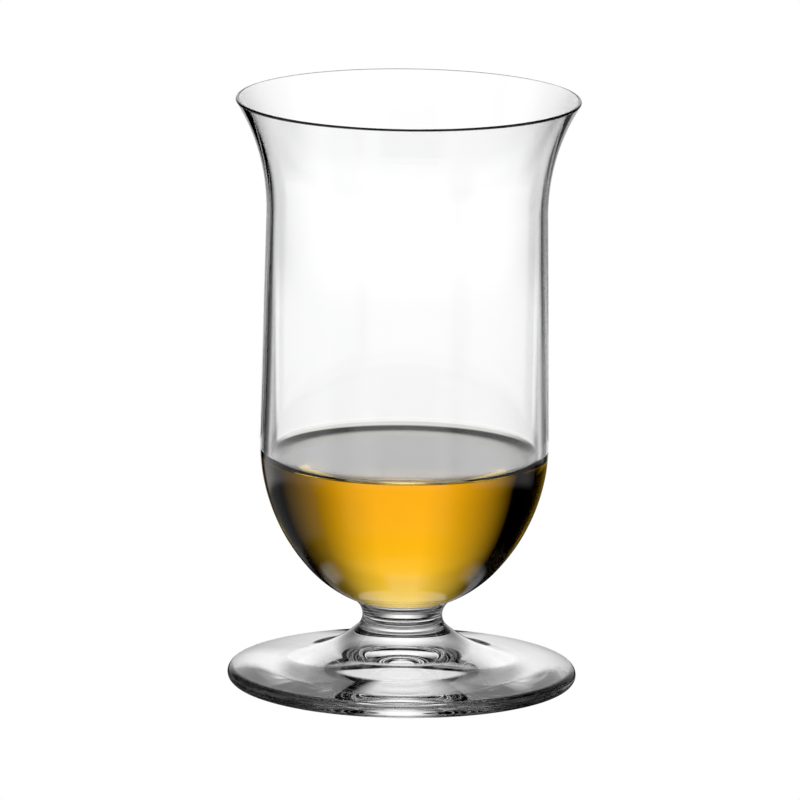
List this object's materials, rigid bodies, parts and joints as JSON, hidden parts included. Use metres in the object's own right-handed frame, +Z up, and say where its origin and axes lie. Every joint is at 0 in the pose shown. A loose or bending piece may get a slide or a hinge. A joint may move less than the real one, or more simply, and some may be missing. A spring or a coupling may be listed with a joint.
{
  "type": "whisky nosing glass",
  "caption": "Whisky nosing glass with a flared lip, wide belly, short thick stem and broad foot, holding a measure of amber whisky.",
  "frame": {"origin": "centre of the plane that the foot stands on", "axes": "+Z up along the glass's axis, towards the mouth; X and Y are alike, because the glass is round"},
  "size_m": [0.0678, 0.0678, 0.115],
  "materials": {
    "clear_glass": "polished",
    "amber_whisky": "polished"
  },
  "bodies": {
    "root": {"bowl": "clear_glass", "stem": "clear_glass", "foot": "clear_glass", "whisky": "amber_whisky"}
  },
  "joints": []
}
